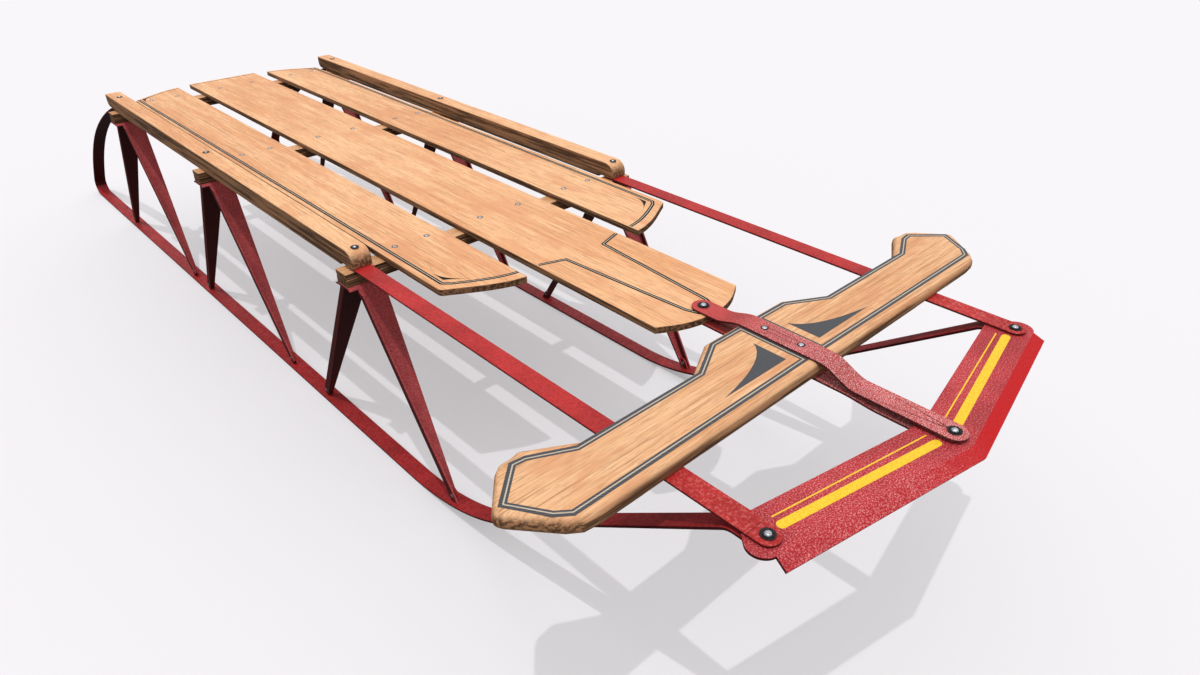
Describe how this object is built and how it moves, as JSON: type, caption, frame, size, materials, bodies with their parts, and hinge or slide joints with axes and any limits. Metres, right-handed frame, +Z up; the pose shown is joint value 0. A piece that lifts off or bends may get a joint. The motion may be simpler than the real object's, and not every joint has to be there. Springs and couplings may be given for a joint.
{
  "type": "steerable steel-runner sled",
  "caption": "Low wooden-decked sled on spring-steel runners, steered by a pivoting wooden crossbar that bends the runners' front ends.",
  "frame": {"origin": "centre of the sled's overall length and width, at the snow surface under the runners", "axes": "+Z up; the sled travels towards -Y, so the steering bar and bumper are at -Y and the swept runner tails at +Y; +X is the rider's left"},
  "size_m": [0.5342, 1.4698, 0.2312],
  "materials": {
    "deck_wood": "clear varnished straight-grained deck boards with charcoal pinstripes",
    "rail_wood": "clear varnished hardwood, softly rounded edges",
    "bench_wood": "varnished hardwood, darker end grain",
    "handle_wood": "clear varnished hardwood with charcoal pinstripes",
    "runner_steel": "semi-gloss red paint, worn bright on the sole",
    "standard_steel": "dark red paint with a fine leather-like texture",
    "bar_steel": "semi-gloss red paint",
    "strap_steel": "semi-gloss red paint with fine speckle",
    "bumper_steel": "hammered red paint with two yellow stripes",
    "rivet_steel": "bright zinc-plated domed rivets",
    "washer_steel": "dark oiled steel washers"
  },
  "bodies": {
    "sled": {"deck_board_right": "deck_wood", "deck_board_centre": "deck_wood", "deck_board_left": "deck_wood", "side_rail_right": "rail_wood", "side_rail_left": "rail_wood", "bench_front": "bench_wood", "bench_middle": "bench_wood", "bench_rear": "bench_wood", "standard_front_right": "standard_steel", "standard_front_left": "standard_steel", "standard_middle_right": "standard_steel", "standard_middle_left": "standard_steel", "standard_rear_right": "standard_steel", "standard_rear_left": "standard_steel", "runner_right": "runner_steel", "runner_left": "runner_steel", "deck_rivets": "rivet_steel", "deck_rivet_burrs": "washer_steel", "rail_rivets": "rivet_steel", "rail_rivet_burrs": "washer_steel", "foot_rivets": "rivet_steel", "strap_pivot_rivet": "rivet_steel", "strap_pivot_washer": "washer_steel"},
    "steering": {"strap_upper": "strap_steel", "strap_lower": "strap_steel", "steering_bar": "handle_wood", "bar_rivets": "rivet_steel"},
    "bumper": {"bumper": "bumper_steel", "bumper_pivot_rivet": "rivet_steel", "bumper_corner_rivets": "rivet_steel", "bumper_washers": "washer_steel"},
    "side_bar_right": {"side_bar_right": "bar_steel"},
    "side_bar_left": {"side_bar_left": "bar_steel"},
    "nose_right": {"runner_nose_right": "runner_steel"},
    "nose_left": {"runner_nose_left": "runner_steel"}
  },
  "joints": [
    {"name": "steer", "type": "hinge", "parent": "sled", "child": "steering", "pos_m": [0, -0.49885, 0.2175], "axis": [0, 0, 1], "range_deg": [-8, 8]},
    {"name": "bumper_turn", "type": "hinge", "parent": "steering", "child": "bumper", "pos_m": [0, -0.71185, 0.21], "axis": [0, 0, 1], "range_deg": [-8.02, 8.02]},
    {"name": "side_bar_flex_right", "type": "hinge", "parent": "sled", "child": "side_bar_right", "pos_m": [-0.16, -0.22885, 0.2123], "axis": [0, 0, 1], "range_deg": [-3.77, 3.77]},
    {"name": "runner_flex_right", "type": "hinge", "parent": "sled", "child": "nose_right", "pos_m": [-0.16, -0.36885, 0.019], "axis": [0, 0, 1], "range_deg": [-5.45, 5.45]},
    {"name": "side_bar_flex_left", "type": "hinge", "parent": "sled", "child": "side_bar_left", "pos_m": [0.16, -0.22885, 0.2123], "axis": [0, 0, 1], "range_deg": [-3.77, 3.77]},
    {"name": "runner_flex_left", "type": "hinge", "parent": "sled", "child": "nose_left", "pos_m": [0.16, -0.36885, 0.019], "axis": [0, 0, 1], "range_deg": [-5.45, 5.45]}
  ],
  "couplings": [
    {"joint": "bumper_turn", "follows": "steer", "ratio": -1},
    {"joint": "side_bar_flex_right", "follows": "steer", "ratio": 0.46916},
    {"joint": "runner_flex_right", "follows": "steer", "ratio": 0.67834},
    {"joint": "side_bar_flex_left", "follows": "steer", "ratio": 0.46916},
    {"joint": "runner_flex_left", "follows": "steer", "ratio": 0.67834}
  ]
}
